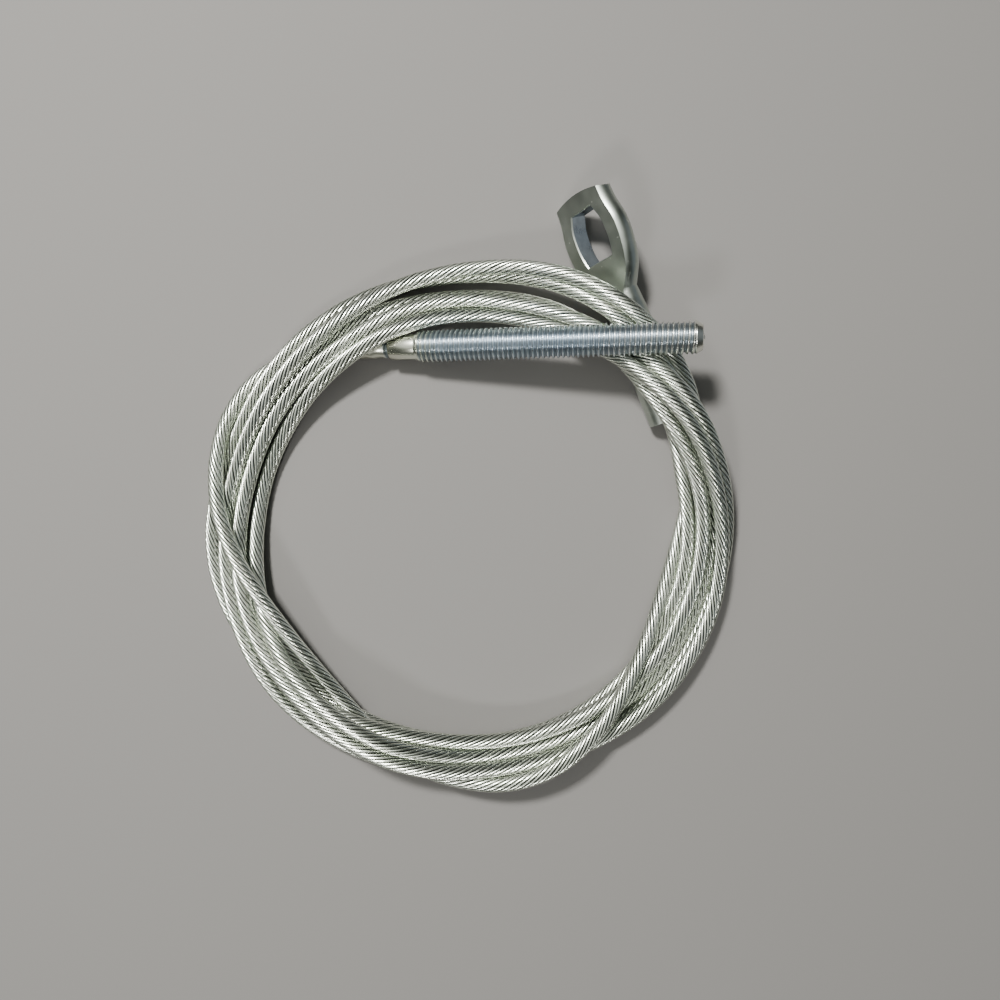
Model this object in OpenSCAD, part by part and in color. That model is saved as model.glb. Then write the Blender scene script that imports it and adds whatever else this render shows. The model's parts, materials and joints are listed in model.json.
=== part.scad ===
// Coiled wire strand with an eye terminal on one end and a threaded stud terminal on the other.
// It lies on a table: +Z is up, and the origin is under the middle of the two terminals' box.

/* [Strand] */
// diameter over the outer wires
strand_d = 6; // [5:0.1:8]
// radial room between a strand and the bore that it sits in
bore_room = 0.05; // [0.02:0.01:0.2]

/* [Eye terminal] */
// overall length, shank mouth to the middle of the tip
eye_length = 96.5; // [80:0.1:120]
// radius of the tip's rounded end
tip_r = 35; // [25:1:60]
// steel left between the slot and the tip
tip_wall = 6.9; // [5:0.1:10]
// crimped shank, width across the flats' ends
shank_w = 16.9; // [14:0.1:20]
// crimped shank, height between its flats
shank_h = 11.6; // [9:0.1:14]
// length of the crimped shank
shank_length = 38; // [25:1:50]
// width of the flattened head at its widest
head_w = 31.1; // [24:0.1:36]
// thickness of the flattened head
head_t = 8.6; // [6:0.1:12]
// half of the arc that the head's rim turns through, where less than 90 leaves a crease
rim_arc = 57; // [45:1:90]
// widest part of the slot
slot_w = 15.4; // [10:0.1:18]
// length of the slot
slot_length = 20.6; // [15:0.1:26]
// depth of the strand's bore in the shank
eye_bore_depth = 30; // [20:1:36]

/* [Stud terminal] */
// outside diameter of the thread
thread_d = 12.7; // [10:0.1:16]
// length of the thread
thread_length = 109.5; // [80:0.5:130]
// length of the chamfer at the tip
chamfer_length = 2.5; // [1:0.1:4]
// plain collar behind the thread
collar_d = 10.2; // [9:0.1:12]
// length of the collar
collar_length = 11; // [6:0.5:16]
// crimped socket that grips the strand
socket_d = 8.8; // [8:0.1:11]
// length of the socket
socket_length = 18; // [12:0.5:40]
// depth of the strand's bore, measured from the socket's mouth
stud_bore_depth = 25; // [15:1:28]

/* [Coil] */
// inner radius of the coil
coil_inner_r = 81; // [70:0.5:90]
// outer radius of the coil
coil_outer_r = 109.5; // [100:0.5:120]
// height of the turns where they lie on the table
coil_h = 12.5; // [10:0.5:20]
// height that the turns climb where they cross the eye's shank
coil_climb = 10; // [0:0.5:16]
// room between the coil's solid and the terminals
coil_room = 0.9; // [0.5:0.1:2]

/* [Hidden] */
$fn = 64;
zinc_bright = [0.66, 0.70, 0.74];
zinc_dull = [0.36, 0.37, 0.34];
zinc_strand = [0.72, 0.73, 0.69];
strand_r = strand_d / 2;
bore_r = strand_r + bore_room;
eps = 0.01;

// where the terminals lie: the eye's shank mouth, and the line between the stud's socket and collar
eye_at = [62.3, -43.7, 5.8];
eye_azimuth = 22.9;
eye_pitch = 5.5;
eye_roll = 50.5;
stud_at = [-51.7, -14.7, 7.8];
stud_azimuth = -0.4;
stud_slope = 11.1;
coil_at = [-19.4, -85.8, 0];

// eye sections from mouth to tip: [distance, half-width, half-height, half of the rim's arc, roll]
head_rise = [0, 0.27, 0.6, 0.86, 0.985, 1, 0.94, 0.78, 0.7];
head_root_w = 8;
tip_spare = 0.5;
head_places = [55, 58, 62, 68, 75, 79, 83, 88, eye_length + tip_spare];
shank_sections = [
    [0, shank_w / 2, shank_h / 2, 90, 0],
    [shank_length, shank_w / 2, shank_h / 2, 90, 0],
    [shank_length + 6, 8.3, 6.4, 90, 0.34 * eye_roll],
    [shank_length + 12, 8, 6, 80, 0.75 * eye_roll]];
head_sections = [for (i = [0:len(head_places) - 1])
    [head_places[i], head_root_w + (head_w / 2 - head_root_w) * head_rise[i],
     head_t / 2, rim_arc, eye_roll]];
eye_sections = concat(shank_sections, head_sections);
rim_steps = 8;

// slot outline: half-width at each distance from its shank end
slot_from = eye_length - tip_wall - slot_length;
slot_half = [[0, 0.82], [4, 0.95], [10, 1], [15, 0.94], [slot_length, 0.66]];

// the stud from its socket's mouth to its tip, as [distance, radius]
stud_tip = collar_length + thread_length + chamfer_length;
chamfer_depth = 1.4;
step_gap = 0.6;
step_gap_depth = 0.5;

// coil sections: outline in [share of width, share of height], and where the turns climb
coil_outline = [[0.12, 0], [0.88, 0], [1, 0.25], [1, 0.7], [0.9, 0.93], [0.7, 1], [0.3, 1], [0.1, 0.93],
    [0, 0.7], [0, 0.25]];
climb_at = 44;
climb_half = 34;
coil_steps = 72;

// routes of the strand's two free ends, by hand, from each terminal's mouth to the coil
lead_eye_route = [[62.3, -43.7, 5.8], [63.4, -46.3, 5.5], [64.2, -49.3, 5.1], [64.9, -54.5, 4.8],
    [65.5, -61, 4.9]];
lead_stud_route = [[-69.4, -14.6, 4.3], [-72.5, -14.6, 3.8], [-76, -14.7, 3.4], [-82, -15.1, 3.1],
    [-88.5, -16.4, 3.1]];
lead_sides = 12;

// directions in which the strand leaves the two terminals
eye_mouth_heading =
    [sin(eye_azimuth) * cos(eye_pitch), -cos(eye_azimuth) * cos(eye_pitch), -sin(eye_pitch)];
stud_mouth_heading =
    [-cos(stud_azimuth) * cos(stud_slope), -sin(stud_azimuth) * cos(stud_slope), -sin(stud_slope)];

// ---- placing ----

module at_eye() {
    translate(eye_at) rotate([eye_pitch, 0, eye_azimuth]) children();
}

// the stud's own axis is +Z, from its socket towards its tip, with 0 at the gap line
module at_stud() {
    translate(stud_at) rotate([0, 0, stud_azimuth]) rotate([0, 90 - stud_slope, 0]) children();
}

// ---- swept solids ----

// the two triangles between places i and i + 1 of rings j and k, each of n points
function strip(i, j, k, n) =
    let (next = (i + 1) % n)
    [[j * n + i, k * n + i, k * n + next], [j * n + i, k * n + next, j * n + next]];

// closes rings of points, all of one length, into one solid
module skin(rings) {
    n = len(rings[0]);
    last = len(rings) - 1;
    polyhedron(
        points = [for (ring = rings) each ring],
        faces = concat(
            [[for (i = [n - 1:-1:0]) i]],
            [for (k = [0:last - 1]) for (i = [0:n - 1]) each strip(i, k + 1, k, n)],
            [[for (i = [0:n - 1]) last * n + i]]),
        convexity = 6);
}

// closes rings of points around a loop, with the last ring joined to the first
module loop_skin(rings) {
    n = len(rings[0]);
    count = len(rings);
    polyhedron(
        points = [for (ring = rings) each ring],
        faces = [for (k = [0:count - 1]) for (i = [0:n - 1]) each strip(i, (k + 1) % count, k, n)],
        convexity = 6);
}

function unit(v) = v / norm(v);

// direction of a route at point i
function heading(route, i) =
    unit(route[min(i + 1, len(route) - 1)] - route[max(i - 1, 0)]);

// ring of points around a route at point i
function tube_ring(route, i, r, ahead) =
    let (h = ahead, left = unit(cross([0, 0, 1], h)), up = cross(h, left))
    [for (k = [0:lead_sides - 1]) let (a = 360 * k / lead_sides)
        route[i] + r * (cos(a) * left - sin(a) * up)];

// tube along a route; the first ring faces first_heading
module tube(route, r, first_heading) {
    skin([for (i = [0:len(route) - 1])
        tube_ring(route, i, r, i == 0 ? first_heading : heading(route, i))]);
}

// ---- eye terminal ----

// rounded section of the eye: two flats joined by round rims, turned by roll
function eye_ring(section, grow) =
    let (y = section[0] - (section[0] == 0 ? grow : 0), arc = section[3], roll = section[4],
         r = (section[2] + grow) / sin(arc), core = section[1] + grow - r,
         flat_ring = concat(
            [for (k = [0:rim_steps]) let (a = arc * (2 * k / rim_steps - 1))
                [core + r * cos(a), r * sin(a)]],
            [for (k = [0:rim_steps]) let (a = arc * (1 - 2 * k / rim_steps))
                [-core - r * cos(a), r * sin(a)]]))
    [for (p = flat_ring)
        [p[0] * cos(roll) - p[1] * sin(roll), y, p[0] * sin(roll) + p[1] * cos(roll)]];

module eye_body(grow = 0) {
    skin([for (section = eye_sections) eye_ring(section, grow)]);
}

module slot_outline() {
    polygon(concat(
        [for (p = slot_half) [p[1] * slot_w / 2, slot_from + p[0]]],
        [for (i = [len(slot_half) - 1:-1:0])
            [-slot_half[i][1] * slot_w / 2, slot_from + slot_half[i][0]]]));
}

// what the shear leaves off around the rounded tip
module tip_waste() {
    difference() {
        translate([-head_w, eye_length - tip_wall])
            square([2 * head_w, 2 * tip_wall]);
        translate([0, eye_length - tip_r])
            circle(tip_r, $fn = 128);
    }
}

module eye_terminal() {
    color(zinc_dull)
    at_eye()
    difference() {
        eye_body();
        rotate([0, -eye_roll, 0])
            translate([0, 0, -head_t])
                linear_extrude(2 * head_t) {
                    slot_outline();
                    tip_waste();
                }
        rotate([-90, 0, 0])
            translate([0, 0, -eps])
                cylinder(h = eye_bore_depth + eps, r = bore_r);
    }
}

// ---- stud terminal ----

module stud_body(grow = 0) {
    rotate_extrude()
        polygon([
            [0, -socket_length - grow],
            [socket_d / 2 + grow, -socket_length - grow],
            [socket_d / 2 + grow, -grow],
            [collar_d / 2 + grow, -grow],
            [collar_d / 2 + grow, collar_length - grow],
            [thread_d / 2 + grow, collar_length - grow],
            [thread_d / 2 + grow, collar_length + thread_length],
            [thread_d / 2 - chamfer_depth + grow, stud_tip + grow],
            [0, stud_tip + grow]]);
}

// the thread is its plain outside cylinder
module stud_terminal() {
    color(zinc_bright)
    at_stud()
    difference() {
        stud_body();
        translate([0, 0, -socket_length - eps])
            cylinder(h = stud_bore_depth + eps, r = bore_r);
        rotate_extrude()
            translate([socket_d / 2 - step_gap_depth, -step_gap])
                square([2 * step_gap_depth, step_gap]);
    }
}

// ---- strand inside the two terminals ----

// a king wire, six round it and twelve round those: five wires across
wire_pitch = strand_d / 5;
wire_r = wire_pitch / 2 - 0.02;

// one layer of the strand's wires, standing on z = 0
module wire_layer(layer, length) {
    count = layer == 0 ? 1 : 6 * layer;
    for (i = [0:count - 1])
        rotate([0, 0, 360 * i / count])
            translate([layer * wire_pitch, 0, 0])
                cylinder(h = length, r = wire_r, $fn = 16);
}

module eye_wires(layer) {
    color(zinc_strand)
    at_eye()
        rotate([-90, 0, 0])
            wire_layer(layer, eye_bore_depth);
}

module stud_wires(layer) {
    color(zinc_strand)
    at_stud()
        translate([0, 0, -socket_length])
            wire_layer(layer, stud_bore_depth);
}

module eye_king_wire() { eye_wires(0); }
module eye_inner_wires() { eye_wires(1); }
module eye_outer_wires() { eye_wires(2); }
module stud_king_wire() { stud_wires(0); }
module stud_inner_wires() { stud_wires(1); }
module stud_outer_wires() { stud_wires(2); }

// ---- strand outside the terminals ----

// share of the climb at an angle round the coil, 0 to 1
function climb(a) =
    let (off = abs(((a - climb_at + 540) % 360) - 180))
    off < climb_half ? (1 + cos(180 * off / climb_half)) / 2 : 0;

function coil_ring(a) =
    let (low = coil_climb * climb(a), high = coil_h + coil_climb * climb(a))
    [for (p = coil_outline)
        let (r = coil_inner_r + (coil_outer_r - coil_inner_r) * p[0], z = low + (high - low) * p[1])
        coil_at + [r * cos(a), r * sin(a), z]];

// the turns' outer shape, with room for the terminals and the two ends that run in under it
module rope_coil() {
    color(zinc_strand)
    difference() {
        loop_skin([for (k = [0:coil_steps - 1]) coil_ring(360 * k / coil_steps)]);
        at_eye() eye_body(coil_room);
        at_stud() stud_body(coil_room);
        tube(lead_eye_route, strand_r + coil_room, eye_mouth_heading);
        tube(lead_stud_route, strand_r + coil_room, stud_mouth_heading);
    }
}

module rope_lead_eye() {
    color(zinc_strand)
    tube(lead_eye_route, strand_r, eye_mouth_heading);
}

module rope_lead_stud() {
    color(zinc_strand)
    tube(lead_stud_route, strand_r, stud_mouth_heading);
}

eye_terminal();
stud_terminal();
rope_coil();
rope_lead_eye();
rope_lead_stud();
eye_king_wire();
eye_inner_wires();
eye_outer_wires();
stud_king_wire();
stud_inner_wires();
stud_outer_wires();
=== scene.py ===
"""Coiled wire strand with an eye terminal and a threaded stud terminal: its final look.

Shapes are worked out in millimetres in the row frame and turned into metres when a mesh is made.
+Z is up from the table, +X runs along the stud and +Y towards the tip of the eye.
"""

import json
import math

import bpy
import numpy as np
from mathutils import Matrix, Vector


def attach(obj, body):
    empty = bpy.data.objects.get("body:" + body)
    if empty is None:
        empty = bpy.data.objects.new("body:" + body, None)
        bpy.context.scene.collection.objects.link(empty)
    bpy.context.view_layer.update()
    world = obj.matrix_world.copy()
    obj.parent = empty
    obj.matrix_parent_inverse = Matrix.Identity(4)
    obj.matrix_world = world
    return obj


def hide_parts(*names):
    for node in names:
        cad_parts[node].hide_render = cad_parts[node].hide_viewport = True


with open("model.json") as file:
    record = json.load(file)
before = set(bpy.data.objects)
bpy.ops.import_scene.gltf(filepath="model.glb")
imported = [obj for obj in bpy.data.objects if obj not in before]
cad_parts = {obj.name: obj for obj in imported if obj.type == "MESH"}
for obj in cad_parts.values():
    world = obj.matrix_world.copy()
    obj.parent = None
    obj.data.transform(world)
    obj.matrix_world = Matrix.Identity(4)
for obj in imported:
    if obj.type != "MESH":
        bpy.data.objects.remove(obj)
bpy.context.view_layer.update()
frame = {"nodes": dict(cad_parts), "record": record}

MM = 0.001
MOUNTS = {m["name"]: m for m in frame["record"]["mounts"]}

# ---- driving sizes, in millimetres and degrees ----

STRAND_D = 6.0
STRAND_R = STRAND_D / 2
OUTER_WIRES = 12
WIRE_R = STRAND_D / 10
LAY_PITCH = 38.5
BORE_R = 3.05
COIL_CENTRE = np.array([-19.4, -85.8])

EYE_AT = np.array([62.3, -43.7, 5.8])
EYE_AZIMUTH = 22.9
EYE_PITCH = 5.5
EYE_LENGTH = 96.5
TIP_R = 35.0
EYE_BORE_DEPTH = 30.0
SHANK_W, SHANK_H, SHANK_LENGTH = 16.9, 11.6, 38.0
HEAD_T = 8.6
RIM_ARC = 57.0
SLOT_FROM, SLOT_LENGTH = 69.0, 20.6

THREAD_R = MOUNTS["stud_thread"]["dims"]["r_mm"]
THREAD_LENGTH = MOUNTS["stud_thread"]["dims"]["length_mm"]
THREAD_PITCH = 25.4 / 13
COLLAR_R, COLLAR_LENGTH = 5.1, 11.0
SOCKET_R, SOCKET_LENGTH = 4.4, 18.0
CHAMFER_LENGTH, CHAMFER_DEPTH = 2.5, 1.4
STUD_TIP = COLLAR_LENGTH + THREAD_LENGTH + CHAMFER_LENGTH

CAMERA_AT = (-7.1, -76.8, 314.0)
CAMERA_LENS = 27.07
LAMPS_AIM = (-20.0, -70.0, 0.0)

# The strand's free ends, as in the CAD, from each terminal's mouth to the coil.
LEAD_EYE = [(62.3, -43.7, 5.8), (63.4, -46.3, 5.5), (64.2, -49.3, 5.1), (64.9, -54.5, 4.8)]
LEAD_STUD = [(-88.5, -16.4, 3.1), (-82.0, -15.1, 3.1), (-76.0, -14.7, 3.4), (-72.5, -14.6, 3.8),
             (-69.4, -14.6, 4.3)]

# The coil's turns: radius and height at every 15 degrees, clockwise from 75 degrees past +Y.
COIL_FIRST, COIL_STEP = 75, 15
COIL_TURNS = [
    ([88, 89, 89.5, 90, 90.5, 91, 91, 91, 91.5, 92.5, 93, 93.5, 94, 94.5, 95, 95, 94, 93.5, 93, 93,
      94.5, 94.5, 90, 89.5],
     [8, 9, 8, 6, 4, 3, 3, 3, 3, 3, 3, 3, 3, 3, 3, 4, 6, 8, 9, 9, 9, 12, 16, 15]),
    ([92.5, 94, 94.5, 94, 93, 91, 90, 89, 89, 92, 97.5, 103.5, 106.5, 106.5, 102.5, 101, 101, 101.5,
      101.5, 101, 101.5, 100.5, 99, 99],
     [10, 8, 8, 8, 8, 9, 9, 9, 9, 6, 3, 3, 3, 3, 7, 9, 10, 9, 7, 5, 7, 15, 18, 11]),
    ([99, 99.5, 99.5, 99.5, 98.5, 97.5, 95.5, 94.5, 93.5, 92.5, 92.5, 92, 90, 87.5, 86, 84, 83, 82, 83,
      84.5, 86, 87.5, 89.5, 93.5],
     [5, 5, 7, 8, 7, 8, 9, 9, 9, 9, 9, 6, 5, 6, 6, 8, 11, 15, 13, 8, 9, 16, 22, 18]),
    ([98, 101, 104, 105, 104.5, 102.5, 101, 99.5, 99.5, 98.5, 97.5, 97.5, 96, 93, 90.5, 89.5, 88, 87.5,
      89, 89.5, 90.5, 92.5, 94.5, 99],
     [12, 10, 8, 8, 6, 6, 8, 9, 9, 10, 10, 8, 7, 8, 9, 10, 14, 15, 11, 10, 14, 20, 23, 18]),
    ([102, 104.3, 104.5, 104, 104, 102.5, 102, 102.5, 104, 104.5, 104.5, 103, 101.5, 99, 96.5, 95,
      94.5, 96.5, 99.5, 101.5, 103.5, 103.5, 102.5, 101.5],
     [10, 4, 3, 3, 3, 3, 3, 3, 3, 4, 6, 7, 7, 8, 9, 11, 14, 11, 12, 11, 11, 16, 16, 9]),
    ([95, 87.5, 84.5, 85, 90.5, 98, 104, 103.4, 99.3, 90.5, 86, 85.5, 90.5, 99, 105.5, 107],
     [3, 3, 7, 14, 15, 15, 9, 4, 3, 3, 8, 13, 15, 15, 10, 4]),
]


# ---- vectors and frames ----

def unit(v):
    v = np.asarray(v, float)
    return v / np.linalg.norm(v)


def turned(azimuth, pitch):
    """Direction at that azimuth, from +Y towards -X, and that pitch above the table."""
    az, p = math.radians(azimuth), math.radians(pitch)
    return np.array([-math.sin(az) * math.cos(p), math.cos(az) * math.cos(p), math.sin(p)])


class Terminal:
    """A terminal's place: its origin, its own axis, and a level side and a top square to it."""

    def __init__(self, origin, axis):
        self.origin = np.asarray(origin, float)
        self.axis = unit(axis)
        self.side = unit(np.cross(self.axis, [0, 0, 1]))
        self.top = np.cross(self.side, self.axis)

    def place(self, points):
        """Rows of (side, along, top) as points in the row frame."""
        points = np.asarray(points, float)
        return self.origin + points @ np.array([self.side, self.axis, self.top])

    def local(self, points):
        """Points in the row frame as rows of (side, along, top)."""
        return (points - self.origin) @ np.array([self.side, self.axis, self.top]).T


EYE = Terminal(EYE_AT, turned(EYE_AZIMUTH, EYE_PITCH))
THREAD_MIDDLE = COLLAR_LENGTH + THREAD_LENGTH / 2
STUD_AXIS = unit(MOUNTS["stud_thread"]["axis"])
STUD = Terminal(np.array(MOUNTS["stud_thread"]["pos_m"]) / MM - STUD_AXIS * THREAD_MIDDLE, STUD_AXIS)
FACE_NORMAL = unit(MOUNTS["eye_slot"]["axis"])
EYE_ROLL = math.degrees(math.atan2(-FACE_NORMAL @ EYE.side, FACE_NORMAL @ EYE.top))


# ---- meshes ----

def new_mesh(name, points, faces, smooth=True):
    """A mesh object from points in millimetres."""
    mesh = bpy.data.meshes.new(name)
    mesh.from_pydata((np.asarray(points) * MM).tolist(), [], [tuple(f) for f in faces])
    mesh.validate()
    mesh.polygons.foreach_set("use_smooth", [smooth] * len(mesh.polygons))
    mesh.update()
    obj = bpy.data.objects.new(name, mesh)
    bpy.context.scene.collection.objects.link(obj)
    return obj


def grid_faces(rows, columns, wrap=False, first=0):
    """Quads between rows of points that each have the same number of columns."""
    j = np.arange(columns if wrap else columns - 1)
    k = (j + 1) % columns
    i = np.arange(rows - 1)[:, None] * columns + first
    return np.stack([i + j, i + k, i + columns + k, i + columns + j], axis=-1).reshape(-1, 4)


# ---- the strand's centre line ----

def spline(points, step):
    """Points at equal steps along a natural cubic spline through points."""
    points = np.asarray(points, float)
    t = np.r_[0, np.cumsum(np.linalg.norm(np.diff(points, axis=0), axis=1))]
    h = np.diff(t)
    n = len(points)
    a = np.zeros((n, n))
    b = np.zeros_like(points)
    a[0, 0] = a[-1, -1] = 1
    for i in range(1, n - 1):
        a[i, i - 1:i + 2] = h[i - 1], 2 * (h[i - 1] + h[i]), h[i]
        b[i] = 6 * ((points[i + 1] - points[i]) / h[i] - (points[i] - points[i - 1]) / h[i - 1])
    m = np.linalg.solve(a, b)

    def at(x):
        i = np.clip(np.searchsorted(t, x, side="right") - 1, 0, n - 2)
        u, v, w = (t[i + 1] - x)[:, None], (x - t[i])[:, None], h[i][:, None]
        return ((m[i] * u**3 + m[i + 1] * v**3) / (6 * w) + (points[i] / w - m[i] * w / 6) * u
                + (points[i + 1] / w - m[i + 1] * w / 6) * v)

    fine = at(np.linspace(0, t[-1], 12 * int(t[-1] / step)))
    run = np.r_[0, np.cumsum(np.linalg.norm(np.diff(fine, axis=0), axis=1))]
    along = np.linspace(0, run[-1], int(round(run[-1] / step)) + 1)
    return np.stack([np.interp(along, run, fine[:, k]) for k in range(3)], axis=1)


def route():
    """The strand's route as drawn, before its turns settle on each other."""
    radii = np.concatenate([turn[0] for turn in COIL_TURNS])
    heights = np.concatenate([turn[1] for turn in COIL_TURNS])
    angle = np.radians(COIL_FIRST + COIL_STEP * np.arange(len(radii)))
    level = COIL_CENTRE + np.stack([radii * np.sin(angle), radii * np.cos(angle)], axis=1)
    coil = np.column_stack([level, heights])
    return np.vstack([LEAD_EYE, coil, LEAD_STUD])


def overlaps(points, terminal, near):
    """Which points of the strand are inside a terminal, which way is out and how far."""
    core, radius, inside = near(terminal.local(points))
    away = points - terminal.place(core)
    far = np.linalg.norm(away, axis=1)
    depth = radius + STRAND_R - far
    hit = inside & (depth > 0)
    return hit, away[hit] / far[hit][:, None], depth[hit]


def shank_core(local, neck_length=12, neck_growth=2.2, reach=54):
    """The eye's crimped shank as a flat bar with round edges, growing into the neck."""
    side, along, _ = local.T
    grow = np.clip((along - SHANK_LENGTH) / neck_length, 0, 1)
    half = (SHANK_W - SHANK_H) / 2 * (1 - grow)
    core = np.stack([np.clip(side, -half, half), along, np.zeros_like(along)], axis=1)
    return core, SHANK_H / 2 + neck_growth * grow, (along > 0) & (along < reach)


def stud_core(local, in_mouth=6):
    """The stud terminal as a stepped round bar, which the strand's last points run into."""
    along = local[:, 1]
    core = np.stack([np.zeros_like(along), along, np.zeros_like(along)], axis=1)
    radius = np.where(along < 0, SOCKET_R, np.where(along < COLLAR_LENGTH, COLLAR_R, THREAD_R))
    inside = (along > -SOCKET_LENGTH) & (along < STUD_TIP)
    inside[-in_mouth:] = False
    return core, radius, inside


def bend_filter(count, stiffness, fixed):
    """Matrix that smooths a strand's points as its own stiffness would, with the fixed points kept."""
    bend = np.diff(np.eye(count), 2, axis=0)
    system = np.eye(count) + stiffness * bend.T @ bend
    system[fixed] = 0
    system[fixed, fixed] = 1
    return np.linalg.inv(system)


def lift_off(normals, depth, level=0.3, least_reach=0.15):
    """Moves that clear an overlap, mostly up or down, since friction holds the turns sideways."""
    way = normals * [level, level, 1.0]
    reach = np.maximum((way * normals).sum(axis=1), least_reach)
    return (depth / reach)[:, None] * way


def push_apart(points, a, b):
    """Moves that clear the overlaps between the strand's points a and b."""
    between = points[b] - points[a]
    far = np.linalg.norm(between, axis=1) + 1e-9
    hit = far < STRAND_D
    move = 0.5 * lift_off((between / far[:, None])[hit], STRAND_D - far[hit])
    push = np.zeros_like(points)
    hits = np.zeros(len(points))
    np.add.at(push, a[hit], -move)
    np.add.at(push, b[hit], move)
    np.add.at(hits, a[hit], 1)
    np.add.at(hits, b[hit], 1)
    return push / np.sqrt(np.maximum(hits, 1))[:, None]


def settle(points, step, rounds=260, sink=0.05, hold=0.05, push_gain=1.4, near_gap=3, least_run=14):
    """Lets a strand's turns fall on the table and on each other without passing through anything.

    In each round the points sink a little, drift back to the drawn route and are smoothed, more
    sideways than in height. Then overlaps are pushed apart, and the list of close pairs is
    renewed every ten rounds.
    """
    count = len(points)
    fixed = np.array([0, 1, count - 2, count - 1])
    free = np.ones(count, bool)
    free[fixed] = False
    home = bend_filter(count, 30, fixed) @ points
    stiff_level, stiff_height = bend_filter(count, 1000, fixed), bend_filter(count, 10, fixed)
    spread = bend_filter(count, 3, fixed)
    order = np.arange(count)
    apart = order[None] - order[:, None] > int(least_run / step)
    points = home.copy()
    for pass_number in range(rounds):
        if pass_number % 10 == 0:
            gaps = np.linalg.norm(points[:, None] - points[None], axis=2)
            a, b = np.nonzero((gaps < STRAND_D + near_gap) & apart)
        points[free, 2] -= sink * (1 - pass_number / rounds)
        points[free, :2] += hold * (home - points)[free, :2]
        points[:, :2] = home[:, :2] + stiff_level @ (points - home)[:, :2]
        points[:, 2] = stiff_height @ points[:, 2]
        for _ in range(4):
            push = push_apart(points, a, b)
            for terminal, near in ((EYE, shank_core), (STUD, stud_core)):
                inside, normals, depth = overlaps(points, terminal, near)
                push[inside] += lift_off(normals, depth)
            push[fixed] = 0
            points[free] += (push_gain * spread @ push)[free]
            points[free, 2] = np.maximum(points[free, 2], STRAND_R)
    return points


# ---- the strand's wires ----

def carried_frames(points):
    """Two directions square to the line at each point, carried along it without twist."""
    tangent = np.gradient(points, axis=0)
    tangent /= np.linalg.norm(tangent, axis=1)[:, None]
    first = np.empty_like(points)
    v = np.cross(tangent[0], [0, 0, 1])
    for i, t in enumerate(tangent):
        v = unit(v - (v @ t) * t)
        first[i] = v
    return first, np.cross(tangent, first)


def wire_rings(points, sides=12):
    """Points and faces of the outer wires, with each point's depth in the strand and run along it."""
    left, up = carried_frames(points)
    run = np.r_[0, np.cumsum(np.linalg.norm(np.diff(points, axis=0), axis=1))]
    rng = np.random.default_rng(7)
    ring_r = STRAND_R - WIRE_R
    arc = 2 * math.pi * np.arange(sides) / sides
    all_points, all_faces, depth, along = [], [], [], []
    for wire in range(OUTER_WIRES):
        waves = sum(rng.uniform(0.3, 0.9) * np.sin(run / rng.uniform(25, 160) + rng.uniform(0, 6.28))
                    for _ in range(3))
        turn = np.radians(360 * wire / OUTER_WIRES + rng.uniform(-1.0, 1.0) + 0.8 * waves)
        turn = turn - 2 * math.pi * run / LAY_PITCH
        lift = 0.03 * np.sin(run / rng.uniform(40, 90) + rng.uniform(0, 6.28)) - 0.03
        outward = np.cos(turn)[:, None] * left + np.sin(turn)[:, None] * up
        centre = points + (ring_r + lift)[:, None] * outward
        ahead = np.gradient(centre, axis=0)
        ahead /= np.linalg.norm(ahead, axis=1)[:, None]
        sideways = np.cross(ahead, outward)
        rows = centre[:, None] + WIRE_R * (np.cos(arc)[None, :, None] * outward[:, None]
                                           + np.sin(arc)[None, :, None] * sideways[:, None])
        all_faces.append(grid_faces(len(points), sides, wrap=True, first=len(points) * sides * wire))
        all_points.append(rows.reshape(-1, 3))
        depth.append(np.tile((1 - np.cos(arc)) / 2, len(points)))
        along.append(np.repeat(run, sides) + 137.0 * wire)
    return np.vstack(all_points), np.vstack(all_faces), np.concatenate(depth), np.concatenate(along)


def core_rings(points, sides=8, radius=1.9):
    """The six inner wires' outside, as a core behind the outer wires that the material paints near black as
    shade.
    """
    left, up = carried_frames(points)
    a = 2 * math.pi * np.arange(sides) / sides
    rows = points[:, None] + radius * (np.cos(a)[None, :, None] * left[:, None]
                                       + np.sin(a)[None, :, None] * up[:, None])
    return rows.reshape(-1, 3), grid_faces(len(points), sides, wrap=True)


def float_attribute(mesh, name, values):
    layer = mesh.attributes.new(name, "FLOAT", "POINT")
    layer.data.foreach_set("value", np.asarray(values, np.float32))


def make_strand(ring_step=2.0, settle_step=4.0):
    """The strand's mesh and its centre line, from inside one bore to inside the other."""
    settled = settle(spline(route(), settle_step), settle_step)
    line = spline(settled, ring_step)
    inside_eye = EYE.place([(0, d, 0) for d in (12, 8, 4)])
    inside_stud = STUD.place([(0, -SOCKET_LENGTH + d, 0) for d in (4, 8, 12)])
    full = spline(np.vstack([inside_eye, line[::4], line[-1:], inside_stud]), ring_step)
    points, faces, depth, along = wire_rings(full)
    core_points, core_faces = core_rings(full)
    faces = np.vstack([faces, core_faces + len(points)])
    strand = new_mesh("strand", np.vstack([points, core_points]), faces)
    # the core counts as fully deep, so it takes the painted shade of the grooves
    float_attribute(strand.data, "depth", np.r_[depth, np.ones(len(core_points))])
    float_attribute(strand.data, "along", np.r_[along, np.zeros(len(core_points))])
    return strand, full


# ---- camera, then the strand ----

def make_camera():
    data = bpy.data.cameras.new("camera")
    data.sensor_width = 36
    data.lens = CAMERA_LENS
    camera = bpy.data.objects.new("camera", data)
    camera.location = [c * MM for c in CAMERA_AT]
    bpy.context.scene.collection.objects.link(camera)
    bpy.context.scene.camera = camera


make_camera()
strand, strand_line = make_strand()
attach(strand, "root")
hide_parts("rope_coil", "rope_lead_eye", "rope_lead_stud")


# ---- the stud terminal ----

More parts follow.
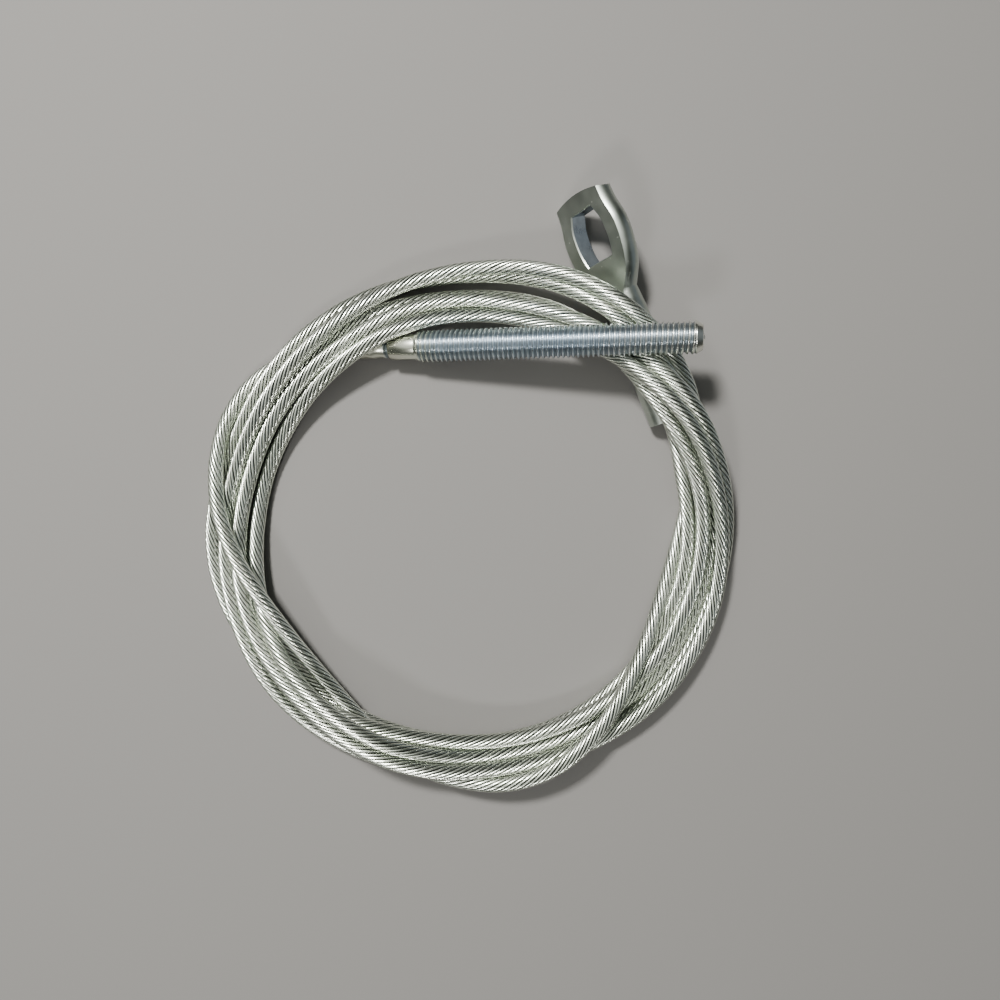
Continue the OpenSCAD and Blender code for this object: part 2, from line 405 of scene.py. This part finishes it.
# one turn of rolled thread: distance from the crest's middle as a share of half a pitch, and depth
THREAD_TURN = [(-1.0, 1.0), (-0.82, 0.98), (-0.68, 0.88), (-0.5, 0.58), (-0.3, 0.25), (-0.12, 0.02),
               (0.12, 0.02), (0.3, 0.25), (0.5, 0.58), (0.68, 0.88), (0.82, 0.98)]


def make_thread(sides=96, deep=0.95, run_out=1.2):
    """The threaded part, with its rows along the helix, a run-out at the collar and a chamfered tip."""
    across, fall = np.array(THREAD_TURN).T
    start, chamfer_from = COLLAR_LENGTH, STUD_TIP - CHAMFER_LENGTH
    turns = int(math.ceil((STUD_TIP - start) / THREAD_PITCH)) + 2
    share = (np.arange(turns)[:, None] + (1 + across) / 2).reshape(-1)
    angle = 2 * math.pi * np.arange(sides + 1) / sides
    z = start + THREAD_PITCH * (share[:, None] - 1 + angle[None] / (2 * math.pi))
    limit = THREAD_R - np.maximum(z - chamfer_from, 0) * CHAMFER_DEPTH / CHAMFER_LENGTH
    fade = np.clip((z - start) / (run_out * THREAD_PITCH), 0, 1)
    depth = np.tile(fall, turns)[:, None] * fade * np.clip((chamfer_from + 0.4 - z) / 1.2, 0, 1)
    r = np.minimum(COLLAR_R + (THREAD_R - deep * depth - COLLAR_R) * (0.15 + 0.85 * fade), limit)
    z = np.clip(z, start, STUD_TIP)
    r = np.where(z <= start, COLLAR_R, r)
    r = np.where(z >= STUD_TIP, np.minimum(r, THREAD_R - CHAMFER_DEPTH), r)
    local = np.stack([r * np.cos(angle), z, r * np.sin(angle)], axis=-1)
    return local.reshape(-1, 3), grid_faces(len(share), sides + 1), depth.reshape(-1)


def lathe(profile, sides=96):
    """A surface of revolution about a terminal's axis from (distance, radius) points."""
    profile = np.asarray(profile, float)
    a = 2 * math.pi * np.arange(sides) / sides
    along, r = profile.T
    local = np.stack([r[:, None] * np.cos(a), np.repeat(along[:, None], sides, axis=1),
                      r[:, None] * np.sin(a)], axis=-1)
    return local.reshape(-1, 3), grid_faces(len(profile), sides, wrap=True)


def crimp(points, dent=0.045):
    """Dents the socket's round points, as the press leaves them."""
    side, along, top = points.T
    around = np.arctan2(top, side)
    waves = (np.sin(3 * around + 0.9) * np.sin(1.1 * along + 0.7 * np.sin(2 * around))
             + np.sin(2 * around - 0.5 * along))
    dented = (along > -SOCKET_LENGTH + 0.5) & (along < -1.3)
    points[:, [0, 2]] *= (1 - dent * (0.6 + 0.5 * waves) * dented)[:, None]


def make_stud():
    """The stud terminal: thread, end face with its centre nib, and socket, gap and collar."""
    thread_points, thread_faces, thread_depth = make_thread()
    end_r = THREAD_R - CHAMFER_DEPTH
    tip_points, tip_faces = lathe([(STUD_TIP, end_r), (STUD_TIP + 0.15, end_r - 0.35), (STUD_TIP + 0.15, 1.4),
                                   (STUD_TIP + 0.45, 1.0), (STUD_TIP + 0.9, 0.8), (STUD_TIP + 1.0, 0.01)])
    mouth = [(-SOCKET_LENGTH + 6, BORE_R), (-SOCKET_LENGTH + 0.3, BORE_R + 0.03), (-SOCKET_LENGTH, 3.4),
             (-SOCKET_LENGTH, SOCKET_R - 0.35)]
    socket = [(-SOCKET_LENGTH + 0.35 + 0.85 * k, SOCKET_R) for k in range(19)]
    gap = [(-1.1, SOCKET_R - 0.1), (-1.0, SOCKET_R - 0.7), (-0.1, SOCKET_R - 0.7)]
    collar = [(-0.05, COLLAR_R - 0.35), (0.3, COLLAR_R), (COLLAR_LENGTH, COLLAR_R)]
    body_points, body_faces = lathe(mouth + socket + gap + collar)
    crimp(body_points)
    along = body_points[:, 1]
    # the gap between socket and collar is given full depth, so the material paints shade into it
    body_depth = np.where((along > -1.15) & (along < -0.07), 1.0, 0.0)
    points = np.vstack([thread_points, tip_points, body_points])
    faces = np.vstack([thread_faces, tip_faces + len(thread_points),
                       body_faces + len(thread_points) + len(tip_points)])
    stud = new_mesh("stud", STUD.place(points), faces)
    float_attribute(stud.data, "depth", np.r_[thread_depth, np.zeros(len(tip_points)), body_depth])
    return stud


stud = make_stud()
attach(stud, "root")
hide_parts("stud_terminal")


# ---- the eye terminal ----

# head outline: half-width at distances from the shank's mouth
HEAD = [(55, 8.0), (58, 10.04), (62, 12.53), (68, 14.49), (75, 15.44), (79, 15.55), (83, 15.1),
        (88, 13.89), (EYE_LENGTH + 0.5, 13.29)]
# slot outline: half-width at distances from the slot's shank end
SLOT = [(0, 6.3), (4, 7.3), (10, 7.7), (15, 7.2), (20.6, 5.0)]


def eye_section(along, half_w, half_t, arc, roll, rim_steps=14, flat_steps=8):
    """Rounded section: two flats joined by round rims of 2 * arc degrees, turned by roll degrees."""
    a = np.radians(np.linspace(-arc, arc, rim_steps + 1))
    radius = half_t / math.sin(math.radians(arc))
    core = half_w - radius
    right = np.stack([core + radius * np.cos(a), radius * np.sin(a)], axis=1)
    flat = np.linspace(right[-1, 0], -right[-1, 0], flat_steps + 1)[1:-1]
    top = np.stack([flat, np.full(len(flat), half_t)], axis=1)
    ring = np.vstack([right, top, -right, -top])
    c, s = math.cos(math.radians(roll)), math.sin(math.radians(roll))
    return np.stack([ring[:, 0] * c - ring[:, 1] * s, np.full(len(ring), along),
                     ring[:, 0] * s + ring[:, 1] * c], axis=1)


def smooth_table(table, at):
    """Values of a table at places, along a natural cubic spline through its rows."""
    table = np.asarray(table, float)
    curve = spline(np.column_stack([table, np.zeros(len(table))]), 0.25)
    return np.interp(at, curve[:, 0], curve[:, 1])


def make_eye():
    """The eye terminal's outside, lofted from the shank's mouth to past the tip."""
    shank = [(0.0, SHANK_W / 2, SHANK_H / 2, 90, 0.0), (SHANK_LENGTH, SHANK_W / 2, SHANK_H / 2, 90, 0.0)]
    neck = [(SHANK_LENGTH + 6, 8.3, 6.4, 90, 0.34 * EYE_ROLL),
            (SHANK_LENGTH + 12, 8.0, 6.0, 80, 0.75 * EYE_ROLL)]
    head = [(along, half_w, HEAD_T / 2, RIM_ARC, EYE_ROLL) for along, half_w in HEAD]
    sections = np.array(shank + neck + head)
    head_from, head_to = HEAD[0][0], HEAD[-1][0]
    places = np.r_[np.linspace(0, SHANK_LENGTH, 24), np.arange(SHANK_LENGTH + 1, head_to, 1.0), head_to]
    half_w, half_t, arc, roll = [np.interp(places, sections[:, 0], column) for column in sections[:, 1:].T]
    in_head = places > head_from
    half_w[in_head] = smooth_table(HEAD, places[in_head])
    rings = [eye_section(*row) for row in zip(places, half_w, half_t, arc, roll)]
    count, last = len(rings[0]), len(rings) - 1
    faces = [f[::-1] for f in grid_faces(len(rings), count, wrap=True).tolist()]
    faces.append(list(range(count)))
    faces.append([last * count + i for i in range(count)][::-1])
    return new_mesh("eye", EYE.place(np.vstack(rings)), faces)


def cutter(rings, name):
    """A closed tool through equal outlines, one above the other."""
    n, last = len(rings[0]), len(rings) - 1
    faces = [[k * n + i, k * n + (i + 1) % n, (k + 1) * n + (i + 1) % n, (k + 1) * n + i]
             for k in range(last) for i in range(n)]
    faces += [list(range(n))[::-1], list(range(last * n, (last + 1) * n))]
    return new_mesh(name, np.vstack(rings), faces, smooth=False)


def cut(obj, tool):
    """Takes the tool's shape out of an object's mesh, and deletes the tool."""
    modifier = obj.modifiers.new("cut", "BOOLEAN")
    modifier.object = tool
    modifier.operation = "DIFFERENCE"
    modifier.solver = "EXACT"
    depsgraph = bpy.context.evaluated_depsgraph_get()
    mesh = bpy.data.meshes.new_from_object(obj.evaluated_get(depsgraph))
    obj.modifiers.clear()
    old, obj.data = obj.data, mesh
    bpy.data.meshes.remove(old)
    bpy.data.objects.remove(tool)


def on_face(outline, rise):
    """(across, along) points of the head as points in the row frame, at a height over its middle."""
    roll = math.radians(EYE_ROLL)
    across = math.cos(roll) * EYE.side + math.sin(roll) * EYE.top
    return EYE.origin + outline[:, :1] * across + outline[:, 1:] * EYE.axis + rise * FACE_NORMAL


def slot_tool(chamfer=0.45, spare=0.6):
    """The slot, with a narrow chamfer on the open face."""
    at = np.linspace(0, SLOT_LENGTH, 15)
    half = smooth_table(SLOT, at)
    middle = np.array([0, SLOT_FROM + SLOT_LENGTH / 2])
    right = np.column_stack([half, SLOT_FROM + at])
    outline = np.vstack([right, right[::-1] * [-1, 1]])
    wide = middle + (outline - middle) * (1 + (chamfer + spare) / np.array([7.2, SLOT_LENGTH / 2]))
    return cutter([on_face(outline, -HEAD_T), on_face(outline, HEAD_T / 2 - chamfer),
                   on_face(wide, HEAD_T / 2 + spare)], "slot_tool")


def tip_tool(reach=17.0, spare=4.0):
    """What the shear leaves off around the rounded tip."""
    a = np.linspace(-1, 1, 25) * math.asin(reach / TIP_R)
    arc = np.column_stack([TIP_R * np.sin(a), EYE_LENGTH - TIP_R + TIP_R * np.cos(a)])
    top = EYE_LENGTH + spare
    outline = np.vstack([arc, [(reach, top), (-reach, top)]])
    return cutter([on_face(outline, -HEAD_T), on_face(outline, HEAD_T)], "tip_tool")


def bore_tool():
    """The strand's bore in the shank."""
    a = 2 * math.pi * np.arange(48) / 48
    ring = np.stack([BORE_R * np.cos(a), np.zeros(48), BORE_R * np.sin(a)], axis=1)
    return cutter([EYE.place(ring + [0, d, 0]) for d in (-1, EYE_BORE_DEPTH)], "bore_tool")


eye = make_eye()
for tool in (slot_tool(), tip_tool(), bore_tool()):
    cut(eye, tool)
eye.data.set_sharp_from_angle(angle=math.radians(22))
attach(eye, "root")
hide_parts("eye_terminal")


# ---- materials ----

class Shader:
    """A node material with a Principled shader, and short calls for the nodes that feed it."""

    def __init__(self, name):
        self.material = bpy.data.materials.new(name)
        self.material.use_nodes = True
        self.tree = self.material.node_tree
        self.bsdf = self.tree.nodes["Principled BSDF"]

    def node(self, kind, inputs=None, **settings):
        made = self.tree.nodes.new(kind)
        for key, value in settings.items():
            setattr(made, key, value)
        for key, value in (inputs or {}).items():
            if isinstance(value, bpy.types.NodeSocket):
                self.tree.links.new(value, made.inputs[key])
            else:
                made.inputs[key].default_value = value
        return made

    def attribute(self, name):
        return self.node("ShaderNodeAttribute", attribute_name=name).outputs["Fac"]

    def place(self):
        """Position on the object, in metres."""
        return self.node("ShaderNodeTexCoord").outputs["Object"]

    def noise(self, vector, scale, detail=3.0, roughness=0.55):
        return self.node("ShaderNodeTexNoise", {"Vector": vector, "Scale": scale, "Detail": detail,
                                                "Roughness": roughness}).outputs["Fac"]

    def ramp(self, value, stops):
        made = self.node("ShaderNodeValToRGB", {"Fac": value})
        elements = made.color_ramp.elements
        while len(elements) < len(stops):
            elements.new(0.5)
        for element, (place, colour) in zip(elements, stops):
            element.position = place
            element.color = (*colour, 1)
        return made.outputs["Color"]

    def remap(self, value, low, high, to_low, to_high):
        return self.node("ShaderNodeMapRange", {"Value": value, "From Min": low, "From Max": high,
                                                "To Min": to_low, "To Max": to_high}).outputs["Result"]

    def mix(self, amount, base, colour):
        """A colour laid over a base by a varying amount."""
        return self.node("ShaderNodeMix", {0: amount, 6: base, 7: (*colour, 1)}, data_type="RGBA").outputs[2]

    def math(self, operation, a, b):
        return self.node("ShaderNodeMath", {0: a, 1: b}, operation=operation).outputs[0]

    def combine(self, x, y, z):
        return self.node("ShaderNodeCombineXYZ", {"X": x, "Y": y, "Z": z}).outputs[0]

    def bump(self, height, distance, strength=1.0):
        return self.node("ShaderNodeBump", {"Height": height, "Distance": distance,
                                            "Strength": strength}).outputs["Normal"]

    def surface(self, **sockets):
        for key, value in sockets.items():
            socket = self.bsdf.inputs[key.replace("_", " ")]
            if isinstance(value, bpy.types.NodeSocket):
                self.tree.links.new(value, socket)
            else:
                socket.default_value = value
        return self.material


def strand_zinc():
    """Drawn galvanised wire: bright crowns, grooves painted near black as shade between the wires, and
    streaks along each wire.
    """
    s = Shader("strand_zinc")
    depth, along = s.attribute("depth"), s.attribute("along")
    streaks = s.noise(s.combine(s.math("MULTIPLY", along, 0.22), s.math("MULTIPLY", depth, 9.0), 0.0), 1.6)
    patches = s.noise(s.place(), 45.0, 4.0)
    tint = s.ramp(patches, [(0.3, (0.85, 0.91, 0.79)), (0.7, (0.95, 0.98, 0.90))])
    tint = s.mix(s.remap(streaks, 0.48, 0.74, 0.0, 0.40), tint, (0.40, 0.44, 0.37))
    # painted shade: the deeper a point lies between the wires, the nearer black its colour
    tint = s.mix(s.remap(depth, 0.10, 0.30, 0.0, 0.97), tint, (0.030, 0.038, 0.030))
    rough = s.remap(streaks, 0.3, 0.7, 0.18, 0.32)
    return s.surface(Base_Color=tint, Metallic=1.0, Roughness=rough, Normal=s.bump(streaks, 0.00004, 0.5))


def stud_zinc():
    """Zinc plate over rolled thread: pale blue along the middle, warmer towards both ends, with painted shade
    in the thread's flanks and roots and in the gap before the collar.
    """
    s = Shader("stud_zinc")
    x = s.node("ShaderNodeSeparateXYZ", {"Vector": s.place()}).outputs["X"]
    depth = s.attribute("depth")
    patches = s.noise(s.place(), 70.0, 4.0)
    run = s.math("ADD", s.remap(x, -0.055, 0.070, 0.0, 1.0), s.remap(patches, 0.3, 0.7, -0.04, 0.04))
    tint = s.ramp(run, [(0.0, (0.72, 0.72, 0.60)), (0.13, (0.80, 0.84, 0.73)), (0.20, (0.66, 0.73, 0.76)),
                        (0.60, (0.66, 0.74, 0.82)), (0.80, (0.78, 0.81, 0.80)), (1.0, (0.88, 0.88, 0.80))])
    tint = s.mix(s.remap(patches, 0.52, 0.70, 0.0, 0.25), tint, (0.40, 0.44, 0.46))
    # painted shade: flanks a little darker and bluer, roots and the gap before the collar darkened towards
    # near black
    tint = s.mix(s.remap(depth, 0.12, 0.45, 0.0, 0.40), tint, (0.56, 0.67, 0.77))
    tint = s.mix(s.remap(depth, 0.35, 0.90, 0.0, 0.85), tint, (0.15, 0.185, 0.215))
    rough = s.math("ADD", s.remap(patches, 0.3, 0.7, 0.24, 0.30), s.remap(depth, 0.2, 0.9, 0.0, 0.10))
    return s.surface(Base_Color=tint, Metallic=1.0, Roughness=rough)


def eye_zinc():
    """Dull galvanised steel with small bright scuffs."""
    s = Shader("eye_zinc")
    patches = s.noise(s.place(), 110.0, 5.0)
    fine = s.noise(s.place(), 1300.0, 2.0)
    scuffs = s.noise(s.place(), 420.0, 1.0)
    tint = s.ramp(patches, [(0.3, (0.40, 0.44, 0.40)), (0.7, (0.50, 0.54, 0.49))])
    tint = s.mix(s.remap(scuffs, 0.72, 0.77, 0.0, 1.0), tint, (0.85, 0.88, 0.82))
    rough = s.remap(patches, 0.3, 0.7, 0.28, 0.40)
    return s.surface(Base_Color=tint, Metallic=1.0, Roughness=rough, Normal=s.bump(fine, 0.00003, 0.3))


def slot_shaded_zinc():
    """Sheared walls of the slot, in a darker, bluer copy of the zinc that paints the shade and blue
    reflection seen on them.
    """
    s = Shader("slot_shaded_zinc")
    patches = s.noise(s.place(), 160.0, 5.0)
    # darker and bluer than the eye's zinc: painted shade and painted blue reflection
    tint = s.ramp(patches, [(0.3, (0.26, 0.31, 0.36)), (0.7, (0.52, 0.60, 0.66))])
    rough = s.remap(patches, 0.3, 0.7, 0.22, 0.40)
    return s.surface(Base_Color=tint, Metallic=1.0, Roughness=rough, Normal=s.bump(patches, 0.0004, 0.5))


def give(obj, material):
    obj.data.materials.clear()
    obj.data.materials.append(material)


def give_slot_walls(obj, material, reach=8.2):
    """Gives the slot's walls, which stand square to the head's faces, a material of their own, darker and
    bluer with painted shade and reflection.
    """
    obj.data.materials.append(material)
    middle = EYE.place([(0, SLOT_FROM + SLOT_LENGTH / 2, 0)])[0]
    for face in obj.data.polygons:
        away = np.array(face.center) / MM - middle
        flat = away - (away @ FACE_NORMAL) * FACE_NORMAL
        across = flat - (flat @ EYE.axis) * EYE.axis
        inside = np.linalg.norm(across) < reach and abs(flat @ EYE.axis) < SLOT_LENGTH / 2 + 0.3
        if inside and abs(np.array(face.normal) @ FACE_NORMAL) < 0.5:
            face.material_index = 1


wire_material = strand_zinc()
give(strand, wire_material)
give(stud, stud_zinc())
give(eye, eye_zinc())
give_slot_walls(eye, slot_shaded_zinc())
for name, node in frame["nodes"].items():
    if name.endswith(("wire", "wires")):
        give(node, wire_material)


# ---- floor and light ----

def make_floor(half=4000):
    """A plain table."""
    corners = [(-half, -half, 0), (half, -half, 0), (half, half, 0), (-half, half, 0)]
    floor = new_mesh("floor", corners, [(0, 1, 2, 3)], smooth=False)
    s = Shader("floor")
    give(floor, s.surface(Base_Color=(0.202, 0.198, 0.190, 1.0), Roughness=0.95, Specular_IOR_Level=0.1))


def make_lamp(name, place, size, power, colour=(1.0, 0.98, 0.95)):
    """A soft square lamp aimed at the middle of the object."""
    data = bpy.data.lights.new(name, "AREA")
    data.shape = "RECTANGLE"
    data.size, data.size_y = size[0] * MM, size[1] * MM
    data.energy = power
    data.color = colour
    lamp = bpy.data.objects.new(name, data)
    lamp.location = [c * MM for c in place]
    aim = np.array(LAMPS_AIM) - np.array(place, float)
    lamp.rotation_mode = "QUATERNION"
    lamp.rotation_quaternion = Vector(aim).to_track_quat("-Z", "Y")
    bpy.context.scene.collection.objects.link(lamp)


def make_world():
    """A room that is bright overhead and dark near the table, and a little blue on the stud's far side."""
    world = bpy.data.worlds.new("world")
    bpy.context.scene.world = world
    world.use_nodes = True
    tree = world.node_tree
    nodes, links = tree.nodes, tree.links
    way = nodes.new("ShaderNodeTexCoord").outputs["Generated"]

    def ramp_along(axis, stops):
        dot = nodes.new("ShaderNodeVectorMath")
        dot.operation = "DOT_PRODUCT"
        links.new(way, dot.inputs[0])
        dot.inputs[1].default_value = unit(axis)
        ramp = nodes.new("ShaderNodeValToRGB")
        links.new(dot.outputs["Value"], ramp.inputs["Fac"])
        while len(ramp.color_ramp.elements) < len(stops):
            ramp.color_ramp.elements.new(0.5)
        for element, (place, colour) in zip(ramp.color_ramp.elements, stops):
            element.position = place
            element.color = (*colour, 1)
        return ramp.outputs["Color"]

    dome = ramp_along((-0.36, 0.20, 0.91), [(0.0, (0.02, 0.023, 0.02)), (0.70, (0.06, 0.07, 0.06)),
                                            (0.84, (0.86, 0.88, 0.84)), (1.0, (1.0, 1.0, 0.96))])
    window = ramp_along((0.98, 0.1, 0.2), [(0.80, (0.0, 0.0, 0.0)), (0.94, (0.24, 0.27, 0.31))])
    both = nodes.new("ShaderNodeMix")
    both.data_type = "RGBA"
    both.blend_type = "ADD"
    both.inputs[0].default_value = 1.0
    links.new(dome, both.inputs[6])
    links.new(window, both.inputs[7])
    background = nodes["Background"]
    links.new(both.outputs[2], background.inputs["Color"])
    background.inputs["Strength"].default_value = 0.85


make_floor()
make_world()
make_lamp("lamp_far", (-330, 400, 880), (170, 130), 21.0)
make_lamp("lamp_near", (-400, -950, 900), (240, 180), 7.0)
